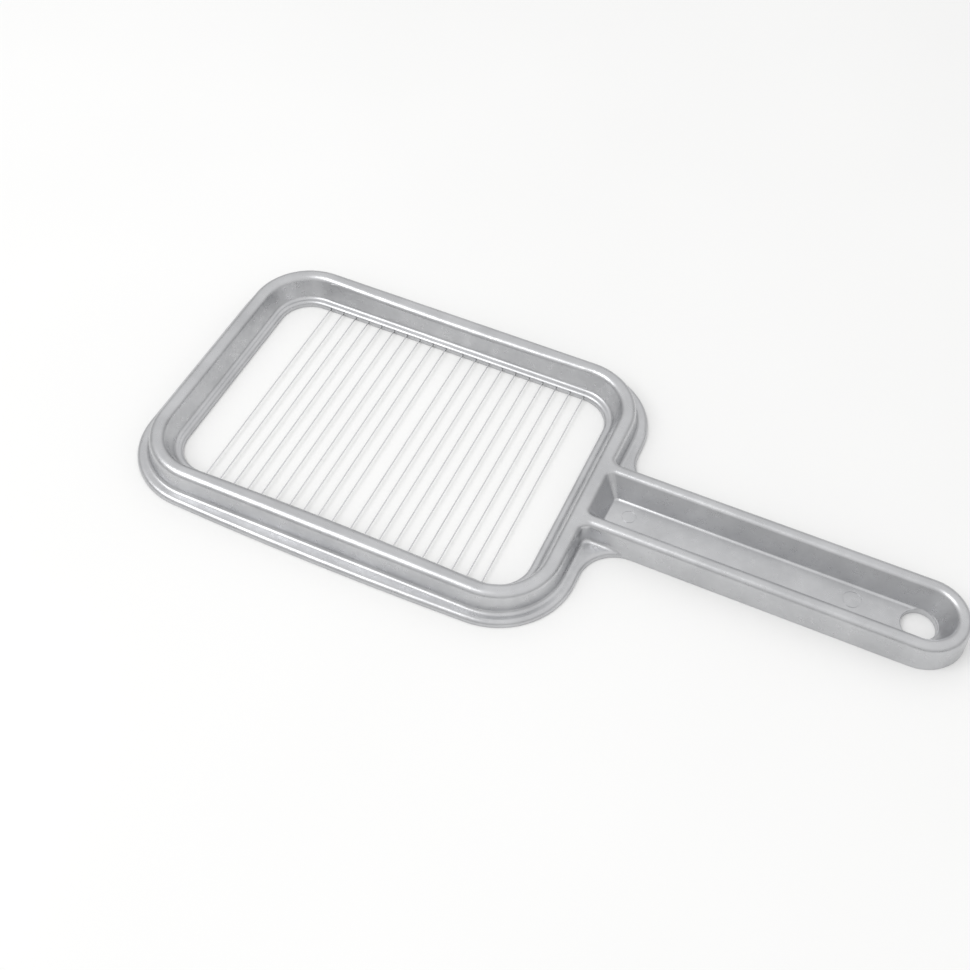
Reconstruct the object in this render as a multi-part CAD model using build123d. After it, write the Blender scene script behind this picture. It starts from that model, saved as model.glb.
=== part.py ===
from build123d import *
import math
import os

# Wire slicer for soft food: one die-cast aluminium frame with a trough-shaped grip,
# strung with twenty steel wires. Millimetres, +X along the grip, +Z up, resting on Z = 0.
# Shapes are drawn about the middle of the ring and moved to the part's origin at the end.

# ---- ring ----
ring_length = 150.4          # along X, over the flange
ring_width = 112.0           # along Y, over the flange at the corners
ring_height = 9.6            # resting plane to the top of the ridge
corner_radius = 25.6         # outside corners of the flange
flange_thickness = 2.0
flange_bow = 0.9             # the long edges of the flange swell outwards by this much at mid-length
flange_edge_radius = 1.6
ridge_foot = 3.5             # flange edge to the outer wall of the ridge
ridge_lean = 1.5             # how far the outer wall leans in on its way up
land_width = 4.4             # top of the ridge, before its edges are rounded
land_bow = 1.0               # the top swells towards the opening by this much on the long sides
slope_run = 2.8              # how far the inner wall leans in on its way down to the lip
lip_width = 2.4
lip_height = 2.0
lip_radius = 1.3
foot_radius = 1.4            # hollow corner between the flange and the ridge
slope_radius = 1.3           # hollow corner between the inner wall and the lip
top_outer_radius = 2.4       # outer edge of the ridge and of the grip's walls
top_inner_radius = 2.1       # inner edge of both

# ---- hollow underside of the ring ----
ring_wall = 1.9              # metal left beside the channel
ring_roof = 2.1              # metal left above the channel
seat_height = 2.6            # upright stretch of the channel's walls, where the wires are anchored

# ---- grip ----
grip_reach = 188.0           # ring middle to the far end of the grip
grip_half_width = 14.0       # at the resting plane
grip_lean = 0.8              # how far each outer wall leans in on its way up
rim_width = 3.6              # top of each grip wall, before its edges are rounded
floor_thickness = 2.0
floor_half_width = 5.1
trough_floor_radius = 0.9
cross_wall_run = 5.1         # slope of the end wall next to the ring
land_at_grip = 3.9           # ridge top between the opening's slope and the trough
trough_corner_top = 2.4
trough_corner_floor = 1.3
root_radius = 2.6            # upright inside corner between the ridge and the grip
gusset_radius = 12.0         # concave edge where the flange runs out into the grip
grip_channel_wall = 2.0
grip_channel_height = 6.2
grip_channel_top = 1.4       # width of the channel's roof
web_half_width = 7.0         # solid strip left under the trough floor
hole_radius = 5.4
hole_inset = 14.6            # end of the grip to the hole's middle
hole_edge_radius = 0.4       # upper edge of the hole

# ---- casting marks on the trough floor ----
mark_radii = [2.4, 3.0]
mark_places = [0.070, 0.839] # centre of each, as a share of the floor from its start to the hole
mark_line = 0.35
mark_depth = 0.12

# ---- wires ----
wires_per_group = 10
wire_diameter = 0.4
wire_height = 1.2            # wire centre above the resting plane
centre_gap_extra = 1.45      # the two groups stand apart by this much more than one pitch
front_margin = 2.7           # end of the opening's straight side to the first wire
grip_margin = 0.05           # last wire to the other end of the straight side
slot_clearance = 0.05        # each side of a wire in its slot
ferrule_radius = 0.85
ferrule_length = 2.4
ferrule_bore_clearance = 0.02
wire_tail = 0.4              # wire left standing past its ferrule

# ---- derived sizes ----
half_length = ring_length / 2
half_width = ring_width / 2
land_outer = ridge_foot + ridge_lean
land_inner = land_outer + land_width
slope_foot = land_inner + slope_run
opening_inset = slope_foot + lip_width
channel_top = ring_height - ring_roof
channel_outer = ridge_foot + ring_wall
channel_inner = slope_foot - ring_wall
grip_top_half_width = grip_half_width - grip_lean
trough_half_width = grip_top_half_width - rim_width
trough_start = half_length - land_inner + land_at_grip
floor_start = trough_start + cross_wall_run
hole_x = grip_reach - hole_inset
grip_centre = grip_reach - grip_half_width
wire_count = 2 * wires_per_group
straight_half = half_length - corner_radius
first_wire = front_margin - straight_half
last_wire = straight_half - grip_margin
wire_pitch = (last_wire - first_wire - centre_gap_extra) / (wire_count - 1)
ferrule_seat = half_width - channel_inner
over = 1.0                   # how far cutting shapes run past the faces they cut
ring_x = -(grip_reach - half_length) / 2


def share(z, low, high):
    """How far z lies from low to high, as a share that may pass 0 or 1."""
    return (z - low) / (high - low)


def outline(inset, z, bow=0.0):
    """Rounded rectangle that lies inset from the flange edge, its long sides bowed by bow."""
    a = half_length - inset
    b = half_width - inset
    r = corner_radius - inset
    cx = a - r
    cy = b - r
    straight = abs(bow) < 1e-6
    ux, uy = 0.0, 1.0
    if not straight:
        swell = r + (cx * cx / bow + bow) / 2
        side_y = b + bow - swell
        reach = math.copysign(math.hypot(cx, cy - side_y), bow)
        ux, uy = cx / reach, (cy - side_y) / reach
    turn = math.atan2(uy, ux) / 2
    tx, ty = cx + r * ux, cy + r * uy
    mx, my = cx + r * math.cos(turn), cy + r * math.sin(turn)
    edges = []
    for s in (1, -1):
        if straight:
            edges.append(Line((tx * s, ty * s), (-tx * s, ty * s)))
        else:
            edges.append(ThreePointArc((tx * s, ty * s), (0, (b + bow) * s), (-tx * s, ty * s)))
        edges.append(ThreePointArc((-tx * s, ty * s), (-mx * s, my * s), (-a * s, cy * s)))
        edges.append(Line((-a * s, cy * s), (-a * s, -cy * s)))
        edges.append(ThreePointArc((-a * s, -cy * s), (-mx * s, -my * s), (-tx * s, -ty * s)))
    return Pos(0, 0, z) * Wire(edges)


def grip_outline(start, half, z, corner=0.0):
    """Strip along +X with a round far end, whose two near corners may be rounded."""
    end = grip_centre
    k = corner * (1 - math.sqrt(0.5))
    edges = [Line((start + corner, -half), (end, -half))]
    edges.append(ThreePointArc((end, -half), (end + half, 0), (end, half)))
    edges.append(Line((end, half), (start + corner, half)))
    if corner > 0:
        edges.append(ThreePointArc((start + corner, half), (start + k, half - k), (start, half - corner)))
    edges.append(Line((start, half - corner), (start, corner - half)))
    if corner > 0:
        edges.append(ThreePointArc((start, corner - half), (start + k, k - half), (start + corner, -half)))
    return Pos(0, 0, z) * Wire(edges)


def between(lower, upper):
    """Solid with straight walls from one outline up to another."""
    return Solid.make_loft([lower, upper], ruled=True)


def inside_wall(z_low, inset_low, z_high, inset_high, bow_low=0.0, bow_high=0.0):
    """Everything inside a wall that runs round the ring and leans from one inset to another."""
    return between(outline(inset_low, z_low, bow_low), outline(inset_high, z_high, bow_high))


def level_edges(shape, z):
    """Edges that lie flat at height z."""
    def lies_at_height(edge):
        box = edge.bounding_box()
        return abs(box.min.Z - z) < 1e-4 and abs(box.max.Z - z) < 1e-4
    return shape.edges().filter_by(lies_at_height)


def gusset(side):
    """Corner piece of the flange with a concave edge, between the ring and one side of the grip."""
    r = gusset_radius
    k = r * (1 - math.sqrt(0.5))
    x0 = half_length - land_outer - land_width / 2
    x1 = half_length
    y0 = grip_half_width
    buried = grip_half_width / 2
    edges = [
        Line((x0, buried * side), (x0, (y0 + r) * side)),
        Line((x0, (y0 + r) * side), (x1, (y0 + r) * side)),
        ThreePointArc((x1, (y0 + r) * side), (x1 + k, (y0 + k) * side), (x1 + r, y0 * side)),
        Line((x1 + r, y0 * side), (x1 + r, buried * side)),
        Line((x1 + r, buried * side), (x0, buried * side)),
    ]
    return extrude(Face(Wire(edges)), flange_thickness, dir=(0, 0, 1))


def flange():
    """Flat plate under the ridge, run out into the grip on both sides, its edge rounded."""
    plate = inside_wall(0, 0, flange_thickness, 0, flange_bow, flange_bow)
    for side in (1, -1):
        plate += gusset(side)

    def clear_of_grip(edge):
        c = edge.center()
        return abs(c.Y) > grip_half_width - 0.01 or c.X < 0
    rim = level_edges(plate, flange_thickness).filter_by(clear_of_grip)
    return fillet(rim, flange_edge_radius)


def grip_block():
    """Outside of the grip, reaching into the ridge."""
    start = half_length - land_outer - land_width / 2
    foot = grip_outline(start, grip_half_width, 0)
    return between(foot, grip_outline(start, grip_top_half_width, ring_height))


def inner_slope():
    """Space inside the leaning inner wall, above the lip."""
    past = share(ring_height + over, lip_height, ring_height)
    hollow = inside_wall(lip_height, slope_foot, ring_height + over, slope_foot - slope_run * past,
                         0.0, -land_bow * past)
    return fillet(level_edges(hollow, lip_height), slope_radius)


def opening():
    """Window that the food is pushed through."""
    return inside_wall(-over, opening_inset, ring_height, opening_inset)


def ring_channel():
    """Hollow that runs round the underside of the ring."""
    outer_top = channel_outer + ridge_lean * share(channel_top, 0, ring_height)
    inner_top = channel_inner - slope_run * share(channel_top, lip_height, ring_height)
    foot = inside_wall(-over, channel_outer, seat_height, channel_outer)
    foot -= inside_wall(-2 * over, channel_inner, seat_height + over, channel_inner)
    upper = inside_wall(seat_height, channel_outer, channel_top, outer_top)
    upper -= inside_wall(seat_height, channel_inner, channel_top, inner_top)
    return foot + upper


def trough():
    """Hollow top of the grip, with leaning walls and a sloping end next to the ring."""
    past = share(ring_height + over, floor_thickness, ring_height)
    half = floor_half_width + (trough_half_width - floor_half_width) * past
    lower = grip_outline(floor_start, floor_half_width, floor_thickness, trough_corner_floor)
    upper = grip_outline(floor_start - cross_wall_run * past, half, ring_height + over,
                         trough_corner_top)
    return fillet(level_edges(between(lower, upper), floor_thickness), trough_floor_radius)


def grip_channel():
    """Hollow under the grip's walls, round the solid strip below the trough."""
    low = grip_half_width - grip_channel_wall
    high = low - grip_lean * share(grip_channel_height, 0, ring_height)
    roof = grip_outline(floor_start, high, grip_channel_height)
    outside = between(grip_outline(floor_start, low, 0), roof)
    strip_start = floor_start - 3 * over
    strip_roof = grip_outline(strip_start, high - grip_channel_top, grip_channel_height)
    inside = between(grip_outline(strip_start, web_half_width, 0), strip_roof)
    return outside - inside


def hanging_hole():
    """Hole through the trough floor."""
    return Pos(hole_x, 0, 0) * Cylinder(hole_radius, ring_height)


def casting_mark(place, radius):
    """Faint ring on the trough floor."""
    x = floor_start + (hole_x - hole_radius - floor_start) * place
    ring = Cylinder(radius, 2 * mark_depth) - Cylinder(radius - mark_line, 2 * mark_depth)
    return Pos(x, 0, floor_thickness) * ring


def wire_places():
    """X of each wire, measured from the middle of the ring."""
    places = []
    for number in range(wire_count):
        extra = centre_gap_extra if number >= wires_per_group else 0.0
        places.append(first_wire + number * wire_pitch + extra)
    return places


def wire_slots():
    """Slots, open to the underside, that carry the wires through the lip."""
    width = wire_diameter + 2 * slot_clearance
    top = wire_height + wire_diameter / 2 + slot_clearance
    depth = opening_inset - channel_inner + over
    middle = half_width - opening_inset + depth / 2 - over / 2
    slots = []
    for x in wire_places():
        for side in (1, -1):
            slots.append(Pos(x, side * middle, (top - over) / 2) * Box(width, depth, top + over))
    return slots


def frame_casting():
    """The whole aluminium frame, one casting."""
    def is_root(edge):
        box = edge.bounding_box()
        upright = box.max.Z > ring_height - 0.01 and box.min.Z < ring_height / 2
        return upright and edge.length < 2 * ring_height

    def is_foot(edge):
        beside = [(0.5, 0, 0.3), (-0.5, 0, 0.3), (0, 0.5, 0.3), (0, -0.5, 0.3)]
        return any(body.is_inside(edge.position_at(0.5) + Vector(step)) for step in beside)

    def borders_hollow(edge):
        c = edge.center()
        clear = land_outer + land_width / 2
        in_ring = abs(c.X) < half_length - clear and abs(c.Y) < half_width - clear
        side = grip_top_half_width - rim_width / 2
        in_grip = abs(c.Y) < side and 0 < c.X < grip_reach - grip_lean - rim_width / 2
        return in_ring or in_grip

    def is_lip(edge):
        c = edge.center()
        inside_x = abs(c.X) < half_length - opening_inset + 0.1
        return inside_x and abs(c.Y) < half_width - opening_inset + 0.1

    def is_hole_rim(edge):
        ends = [edge.position_at(t) for t in (0, 0.5, 1)]
        on_wall = all(abs(math.hypot(q.X - hole_x, q.Y) - hole_radius) < 1e-3 for q in ends)
        return on_wall and min(q.Z for q in ends) > floor_thickness - 0.01

    body = flange() + inside_wall(0, ridge_foot, ring_height, land_outer) + grip_block()
    body = fillet(body.edges().filter_by(is_root), root_radius)
    body = fillet(level_edges(body, flange_thickness).filter_by(is_foot), foot_radius)
    body = fillet(level_edges(body, ring_height), top_outer_radius)
    body -= inner_slope()
    body -= trough()
    body = fillet(level_edges(body, ring_height).filter_by(borders_hollow), top_inner_radius)
    body -= opening()
    body = fillet(level_edges(body, lip_height).filter_by(is_lip), lip_radius)
    body -= ring_channel()
    body -= grip_channel()
    body -= hanging_hole()
    body = fillet(body.edges().filter_by(is_hole_rim), hole_edge_radius)
    for place, radius in zip(mark_places, mark_radii):
        body -= casting_mark(place, radius)
    body -= wire_slots()
    return body


def cutting_wire(x):
    """One straight wire, long enough to pass both ferrules."""
    length = 2 * (ferrule_seat + ferrule_length + wire_tail)
    return Pos(x, 0, wire_height) * Rot(90, 0, 0) * Cylinder(wire_diameter / 2, length)


def ferrules(side):
    """The crimped sleeves that hold one end of every wire behind the lip."""
    bore = wire_diameter / 2 + ferrule_bore_clearance
    y = side * (ferrule_seat + ferrule_length / 2)
    sleeves = []
    for x in wire_places():
        sleeve = Cylinder(ferrule_radius, ferrule_length) - Cylinder(bore, 2 * ferrule_length)
        sleeves.append(Pos(x, y, wire_height) * Rot(90, 0, 0) * sleeve)
    return Compound(sleeves)


def write(name, shape):
    """Move a node to the part's origin and write its STEP file."""
    export_step(Pos(ring_x, 0, 0) * shape, f"parts/{name}.step")


os.makedirs("parts", exist_ok=True)
write("frame_casting", frame_casting())
for number, x in enumerate(wire_places(), start=1):
    write(f"cutting_wire_{number:02d}", cutting_wire(x))
write("wire_ferrules_left", ferrules(1))
write("wire_ferrules_right", ferrules(-1))
print("wire pitch", round(wire_pitch, 3))
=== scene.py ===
import bpy
import numpy as np
from mathutils import Matrix, Vector


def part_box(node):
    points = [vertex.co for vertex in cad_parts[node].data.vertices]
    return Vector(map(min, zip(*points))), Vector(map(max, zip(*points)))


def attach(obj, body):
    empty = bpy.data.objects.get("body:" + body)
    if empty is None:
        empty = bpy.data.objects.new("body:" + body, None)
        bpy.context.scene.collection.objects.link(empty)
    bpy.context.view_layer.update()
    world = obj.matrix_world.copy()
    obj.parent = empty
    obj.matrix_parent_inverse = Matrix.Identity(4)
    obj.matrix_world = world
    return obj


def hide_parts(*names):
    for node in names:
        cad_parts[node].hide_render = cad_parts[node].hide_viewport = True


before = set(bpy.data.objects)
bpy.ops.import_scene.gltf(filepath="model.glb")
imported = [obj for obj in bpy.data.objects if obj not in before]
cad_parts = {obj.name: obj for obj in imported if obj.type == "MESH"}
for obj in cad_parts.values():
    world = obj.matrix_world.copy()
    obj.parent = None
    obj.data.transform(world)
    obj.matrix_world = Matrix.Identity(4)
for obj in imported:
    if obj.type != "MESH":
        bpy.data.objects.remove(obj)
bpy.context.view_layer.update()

castLow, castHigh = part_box("frame_casting")
gripEnd = castHigh[0]
scene = bpy.context.scene


# ---- camera ----
camera = dict(
    ringMiddle=0.1877,                    # grip end back to the middle of the ring
    place=(0.13283, -0.24778, 0.33156),   # from the middle of the ring
    forward=(-0.23324, 0.57230, -0.78617),
    right=(0.91062, 0.41216, 0.02988),
    lens=48.87,
    sensor=36.0,
)


def addCamera(spec):
    data = bpy.data.cameras.new("camera")
    data.lens = spec["lens"]
    data.sensor_width = spec["sensor"]
    data.clip_start = 0.01
    data.clip_end = 20
    eye = bpy.data.objects.new("camera", data)
    scene.collection.objects.link(eye)
    back = -Vector(spec["forward"]).normalized()
    right = Vector(spec["right"]).normalized()
    up = back.cross(right).normalized()
    right = up.cross(back)
    turn = Matrix((right, up, back)).transposed().to_4x4()
    place = Vector(spec["place"]) + Vector((gripEnd - spec["ringMiddle"], 0, 0))
    eye.matrix_world = Matrix.Translation(place) @ turn
    scene.camera = eye


addCamera(camera)
print("camera set")


# ---- material helpers ----
def newMaterial(name):
    mat = bpy.data.materials.new(name)
    mat.use_nodes = True
    nodes = mat.node_tree.nodes
    nodes.clear()
    out = nodes.new("ShaderNodeOutputMaterial")
    shader = nodes.new("ShaderNodeBsdfPrincipled")
    mat.node_tree.links.new(shader.outputs[0], out.inputs[0])
    return mat, nodes, mat.node_tree.links, shader


def scaledNoise(nodes, links, scale, detail, rough=0.5):
    # fractal noise on object coordinates, each axis multiplied by its own frequency per metre
    coord = nodes.new("ShaderNodeTexCoord")
    mapping = nodes.new("ShaderNodeMapping")
    mapping.inputs["Scale"].default_value = scale
    noise = nodes.new("ShaderNodeTexNoise")
    noise.inputs["Scale"].default_value = 1.0
    noise.inputs["Detail"].default_value = detail
    noise.inputs["Roughness"].default_value = rough
    links.new(coord.outputs["Object"], mapping.inputs["Vector"])
    links.new(mapping.outputs["Vector"], noise.inputs["Vector"])
    return noise.outputs["Fac"]


def ranged(nodes, links, source, low, high, fromLow=0.3, fromHigh=0.7):
    # value moved from fromLow..fromHigh to low..high, held at both ends
    node = nodes.new("ShaderNodeMapRange")
    node.inputs["From Min"].default_value = fromLow
    node.inputs["From Max"].default_value = fromHigh
    node.inputs["To Min"].default_value = low
    node.inputs["To Max"].default_value = high
    links.new(source, node.inputs["Value"])
    return node.outputs["Result"]


def added(nodes, links, a, b):
    node = nodes.new("ShaderNodeMath")
    node.operation = "ADD"
    links.new(a, node.inputs[0])
    links.new(b, node.inputs[1])
    return node.outputs[0]


def toned(nodes, links, source, dark, light):
    ramp = nodes.new("ShaderNodeValToRGB")
    ramp.color_ramp.elements[0].position = 0.3
    ramp.color_ramp.elements[0].color = (*dark, 1)
    ramp.color_ramp.elements[1].position = 0.7
    ramp.color_ramp.elements[1].color = (*light, 1)
    links.new(source, ramp.inputs["Fac"])
    return ramp.outputs["Color"]


def bumped(nodes, links, height, strength, depth, shader, before=None):
    bump = nodes.new("ShaderNodeBump")
    bump.inputs["Strength"].default_value = strength
    bump.inputs["Distance"].default_value = depth
    links.new(height, bump.inputs["Height"])
    if before is not None:
        links.new(before, bump.inputs["Normal"])
    links.new(bump.outputs["Normal"], shader.inputs["Normal"])
    return bump.outputs["Normal"]


# ---- cast aluminium ----
cast = dict(
    dark=(0.500, 0.504, 0.516),
    light=(0.600, 0.604, 0.616),
    cloud=70.0,       # per metre
    grain=1500.0,
    pit=420.0,
    rough=(0.26, 0.38),
)


def castMetal(spec):
    # colour = dark to light by slow cloudy noise; roughness = the same range by middle noise plus a
    # little fine grain; height = fine tumbled grain, then shallow rolling hollows under it
    mat, nodes, links, shader = newMaterial("castMetal")
    cloud = scaledNoise(nodes, links, (spec["cloud"],) * 3, 4, 0.6)
    pit = scaledNoise(nodes, links, (spec["pit"],) * 3, 3)
    grain = scaledNoise(nodes, links, (spec["grain"],) * 3, 2)
    links.new(toned(nodes, links, cloud, spec["dark"], spec["light"]), shader.inputs["Base Color"])
    shine = added(nodes, links, ranged(nodes, links, pit, *spec["rough"]),
                  ranged(nodes, links, grain, -0.03, 0.03))
    links.new(shine, shader.inputs["Roughness"])
    shader.inputs["Metallic"].default_value = 1.0
    hollows = bumped(nodes, links, pit, 0.30, 0.00012, shader)
    bumped(nodes, links, grain, 0.20, 0.00004, shader, hollows)
    return mat


# ---- drawn steel wire ----
drawn = dict(dark=(0.60, 0.60, 0.61), light=(0.76, 0.76, 0.77), across=9000.0, along=60.0)


def drawnSteel(spec):
    # colour, roughness and height = noise stretched along the wire, so its streaks run with the drawing
    mat, nodes, links, shader = newMaterial("drawnSteel")
    streak = scaledNoise(nodes, links, (spec["across"], spec["along"], spec["across"]), 3)
    links.new(toned(nodes, links, streak, spec["dark"], spec["light"]), shader.inputs["Base Color"])
    links.new(ranged(nodes, links, streak, 0.18, 0.32), shader.inputs["Roughness"])
    shader.inputs["Metallic"].default_value = 1.0
    bumped(nodes, links, streak, 0.1, 0.00001, shader)
    return mat


# ---- crimped ferrule metal ----
crimpTone = dict(dark=(0.46, 0.46, 0.47), light=(0.62, 0.62, 0.63), blotch=900.0, scuff=5200.0)


def crimpMetal(spec):
    # colour = dark to light by blotches; roughness = blotches plus fine scuffs; height = scuffs
    mat, nodes, links, shader = newMaterial("crimpMetal")
    blotch = scaledNoise(nodes, links, (spec["blotch"],) * 3, 3)
    scuff = scaledNoise(nodes, links, (spec["scuff"],) * 3, 2)
    links.new(toned(nodes, links, blotch, spec["dark"], spec["light"]), shader.inputs["Base Color"])
    shine = added(nodes, links, ranged(nodes, links, blotch, 0.34, 0.46),
                  ranged(nodes, links, scuff, -0.04, 0.04))
    links.new(shine, shader.inputs["Roughness"])
    shader.inputs["Metallic"].default_value = 1.0
    bumped(nodes, links, scuff, 0.2, 0.00002, shader)
    return mat


castSkin = castMetal(cast)
wireSkin = drawnSteel(drawn)
ferruleSkin = crimpMetal(crimpTone)
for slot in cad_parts["frame_casting"].material_slots:
    slot.material = castSkin
print("materials made")


# ---- surfaces of new pieces ----
def surface(name, points, quads, skin, slotName):
    mesh = bpy.data.meshes.new(name)
    mesh.vertices.add(len(points))
    mesh.vertices.foreach_set("co", points.astype(np.float32).ravel())
    mesh.loops.add(quads.size)
    mesh.loops.foreach_set("vertex_index", quads.ravel().astype(np.int32))
    mesh.polygons.add(len(quads))
    mesh.polygons.foreach_set("loop_start", np.arange(0, quads.size, 4, dtype=np.int32))
    mesh.update(calc_edges=True)
    mesh.polygons.foreach_set("use_smooth", np.ones(len(quads), dtype=bool))
    mesh.materials.append(skin)
    piece = bpy.data.objects.new(name, mesh)
    scene.collection.objects.link(piece)
    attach(piece, "root")
    return piece


def ringQuads(rings, sides):
    # ring i joins ring i + 1, side j joins side j + 1, the last ring joins the first
    i = np.arange(rings)[:, None]
    j = np.arange(sides)[None, :]
    k = (i + 1) % rings
    m = (j + 1) % sides
    return np.stack([i * sides + j, i * sides + m, k * sides + m, k * sides + j], -1).reshape(-1, 4)


# ---- wires ----
wire = dict(sides=20, rings=25, endRound=0.00008)


def roundRod(low, high, spec):
    # radius = full along the rod, easing to a small flat at each end; closed by a centre quad strip
    middle = (np.array(low) + np.array(high)) / 2
    radius = (high[0] - low[0]) / 2
    y = np.linspace(low[1], high[1], spec["rings"])
    inset = np.concatenate([[0.0, 0.3, 1.0], np.full(spec["rings"] - 6, 1.0), [1.0, 0.3, 0.0]])
    y[1] = low[1] + spec["endRound"] * 0.4
    y[2] = low[1] + spec["endRound"]
    y[-2] = high[1] - spec["endRound"] * 0.4
    y[-3] = high[1] - spec["endRound"]
    r = radius - spec["endRound"] * (1 - inset)
    a = np.linspace(0, 2 * np.pi, spec["sides"], endpoint=False)
    points = np.stack([middle[0] + r[:, None] * np.cos(a), np.broadcast_to(y[:, None], (len(y), len(a))),
                       middle[2] + r[:, None] * np.sin(a)], -1).reshape(-1, 3)
    body = ringQuads(spec["rings"], spec["sides"])[:-spec["sides"]]
    half = np.arange(spec["sides"] // 2 - 1)
    front = np.stack([half, half + 1, spec["sides"] - 2 - half, spec["sides"] - 1 - half], -1)
    back = front[:, ::-1] + spec["sides"] * (spec["rings"] - 1)
    return points, np.concatenate([body[:, ::-1], front, back])


for number in range(1, 21):
    node = f"cutting_wire_{number:02d}"
    rod = surface(f"wire_{number:02d}", *roundRod(*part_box(node), wire), wireSkin, "wire_steel")
    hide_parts(node)
print("wires made")


# ---- ferrules ----
ferrule = dict(sides=32, bore=0.00022, edge=0.00015, crimpDepth=0.00017, crimpWidth=0.00042,
               crimpAt=(0.32, 0.68), alongSteps=22, radius=0.00085)


def crimpedSleeve(x, z, y0, y1, spec):
    # outer radius = full, less a dent on two opposite sides at each crimp (a bell curve along the
    # sleeve times the squared sine of the angle), rounded off at both ends; then back up the bore
    t = np.linspace(0, 1, spec["alongSteps"])
    y = y0 + (y1 - y0) * t
    fromEnd = np.minimum(t, 1 - t) * (y1 - y0)
    soft = np.clip(1 - fromEnd / spec["edge"], 0, 1)
    outer = spec["radius"] - spec["edge"] * (1 - np.sqrt(1 - soft ** 2))
    a = np.linspace(0, 2 * np.pi, spec["sides"], endpoint=False)
    dent = np.zeros((len(t), 1))
    for place in spec["crimpAt"]:
        dent += np.exp(-(((t[:, None] - place) * (y1 - y0)) / spec["crimpWidth"]) ** 2)
    r = outer[:, None] - spec["crimpDepth"] * dent * np.sin(a) ** 2
    r = np.concatenate([r, np.full((2, len(a)), spec["bore"])])
    y = np.concatenate([y, [y1, y0]])
    points = np.stack([x + r * np.cos(a), np.broadcast_to(y[:, None], r.shape), z + r * np.sin(a)], -1)
    return points.reshape(-1, 3), ringQuads(len(y), spec["sides"])[:, ::-1]


def ferruleRow(node, name):
    low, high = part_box(node)
    xs = [(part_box(f"cutting_wire_{n:02d}")[0][0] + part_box(f"cutting_wire_{n:02d}")[1][0]) / 2
          for n in range(1, 21)]
    z = (low[2] + high[2]) / 2
    points, quads, base = [], [], 0
    for x in xs:
        p, q = crimpedSleeve(x, z, low[1], high[1], ferrule)
        points.append(p)
        quads.append(q + base)
        base += len(p)
    row = surface(name, np.concatenate(points), np.concatenate(quads), ferruleSkin, "ferrule_metal")
    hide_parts(node)


ferruleRow("wire_ferrules_left", "crimps_left")
ferruleRow("wire_ferrules_right", "crimps_right")
print("ferrules made")


# ---- floor and light ----
def floorPaint():
    # colour and roughness = pale, moved slightly by slow noise
    mat, nodes, links, shader = newMaterial("floorPaint")
    cloud = scaledNoise(nodes, links, (6, 6, 6), 2)
    links.new(toned(nodes, links, cloud, (0.90, 0.90, 0.895), (0.92, 0.92, 0.915)),
              shader.inputs["Base Color"])
    links.new(ranged(nodes, links, cloud, 0.68, 0.76), shader.inputs["Roughness"])
    return mat


floorMesh = bpy.data.meshes.new("floor")
half = 2.0
drop = -0.0001   # just below the resting plane, so the two never coincide
floorMesh.from_pydata([(-half, -half, drop), (half, -half, drop), (half, half, drop), (-half, half, drop)],
                      [], [(0, 1, 2, 3)])
floorMesh.materials.append(floorPaint())
floor = bpy.data.objects.new("floor", floorMesh)
scene.collection.objects.link(floor)

sky = dict(horizon=0.42, overhead=0.95, full=0.60)


def addSky(spec):
    # brightness = horizon to overhead by the upward part of the direction, level above full
    world = bpy.data.worlds.new("studio")
    world.use_nodes = True
    nodes = world.node_tree.nodes
    links = world.node_tree.links
    coord = nodes.new("ShaderNodeTexCoord")
    parts = nodes.new("ShaderNodeSeparateXYZ")
    links.new(coord.outputs["Generated"], parts.inputs[0])
    level = ranged(nodes, links, parts.outputs["Z"], spec["horizon"], spec["overhead"], 0.0, spec["full"])
    background = nodes["Background"]
    background.inputs["Color"].default_value = (1, 1, 1, 1)
    links.new(level, background.inputs["Strength"])
    scene.world = world


addSky(sky)


def areaLight(name, place, aim, size, power):
    data = bpy.data.lights.new(name, "AREA")
    data.shape = "RECTANGLE"
    data.size, data.size_y = size
    data.energy = power
    lamp = bpy.data.objects.new(name, data)
    scene.collection.objects.link(lamp)
    lamp.location = place
    lamp.rotation_euler = (Vector(aim) - Vector(place)).to_track_quat("-Z", "Y").to_euler()


areaLight("softbox", (-0.60, -0.50, 1.05), (-0.07, 0, 0), (0.8, 0.7), 4.2)
scene.view_settings.view_transform = "Standard"
print("light set")
